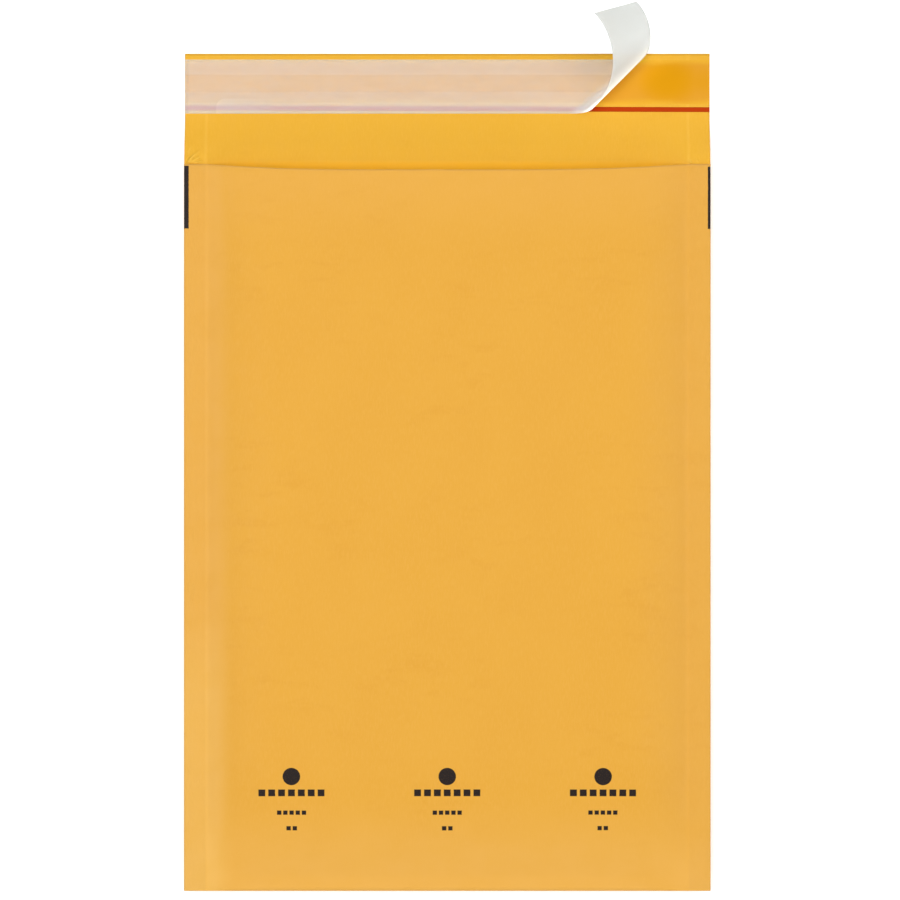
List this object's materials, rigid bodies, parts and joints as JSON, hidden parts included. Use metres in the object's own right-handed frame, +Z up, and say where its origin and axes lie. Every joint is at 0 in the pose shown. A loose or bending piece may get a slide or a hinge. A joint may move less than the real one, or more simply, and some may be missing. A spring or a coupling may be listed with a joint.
{
  "type": "padded envelope",
  "caption": "Kraft paper mailing envelope lined with air-cell film, lying open, with a self-seal flap whose release liner is partly peeled back.",
  "frame": {"origin": "on the floor under the centre of the flat envelope with its flap open, where the back panel rests", "axes": "+X to the right as the front is read, +Y along the envelope towards the flap, +Z up out of the front panel"},
  "size_m": [0.231, 0.3891, 0.0222],
  "materials": {
    "kraft_paper": "matte golden kraft with fine fibres",
    "air_cell_film": "glossy translucent film",
    "adhesive": "glossy amber hot-melt adhesive",
    "release_film": "satin milky film",
    "tear_tape": "satin red tape"
  },
  "bodies": {
    "root": {"kraft_shell": "kraft_paper", "bubble_lining": "air_cell_film", "adhesive_strip": "adhesive", "release_liner": "release_film", "tear_strip": "tear_tape"}
  },
  "joints": []
}
